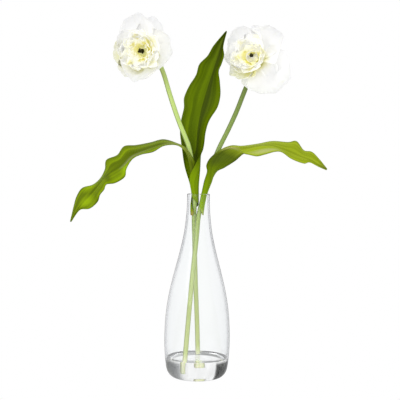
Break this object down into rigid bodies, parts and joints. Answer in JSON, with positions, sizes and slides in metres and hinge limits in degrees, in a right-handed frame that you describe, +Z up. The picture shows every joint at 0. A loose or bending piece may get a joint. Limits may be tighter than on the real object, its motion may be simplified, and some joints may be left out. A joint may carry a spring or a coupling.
{
  "type": "tulip in bud vase",
  "caption": "Artificial double tulips on bent stems with long arching leaves, standing in clear resin in the heavy foot of a slim-necked clear glass bud vase.",
  "frame": {"origin": "centre of the vase's foot on the surface it stands on", "axes": "+Z up along the vase's axis; the flowers face -Y, and +X is to the viewer's right"},
  "size_m": [0.2719, 0.0738, 0.3897],
  "materials": {
    "clear_glass": "polished clear glass",
    "clear_resin": "clear cast resin, level and still like water",
    "stem_green": "pale yellow-green coated stem",
    "leaf_green": "stiff printed silk leaf, satin",
    "petal_cream": "soft cream-white silk",
    "centre_green": "dark olive moulded flower centre"
  },
  "bodies": {
    "root": {"vase": "clear_glass", "clear_fill": "clear_resin", "stem_left": "stem_green", "stem_right": "stem_green", "leaf_centre": "leaf_green", "leaf_left": "leaf_green", "leaf_right": "leaf_green", "bloom_left_petals": "petal_cream", "bloom_right_petals": "petal_cream", "bloom_left_centre": "centre_green", "bloom_right_centre": "centre_green"}
  },
  "joints": []
}
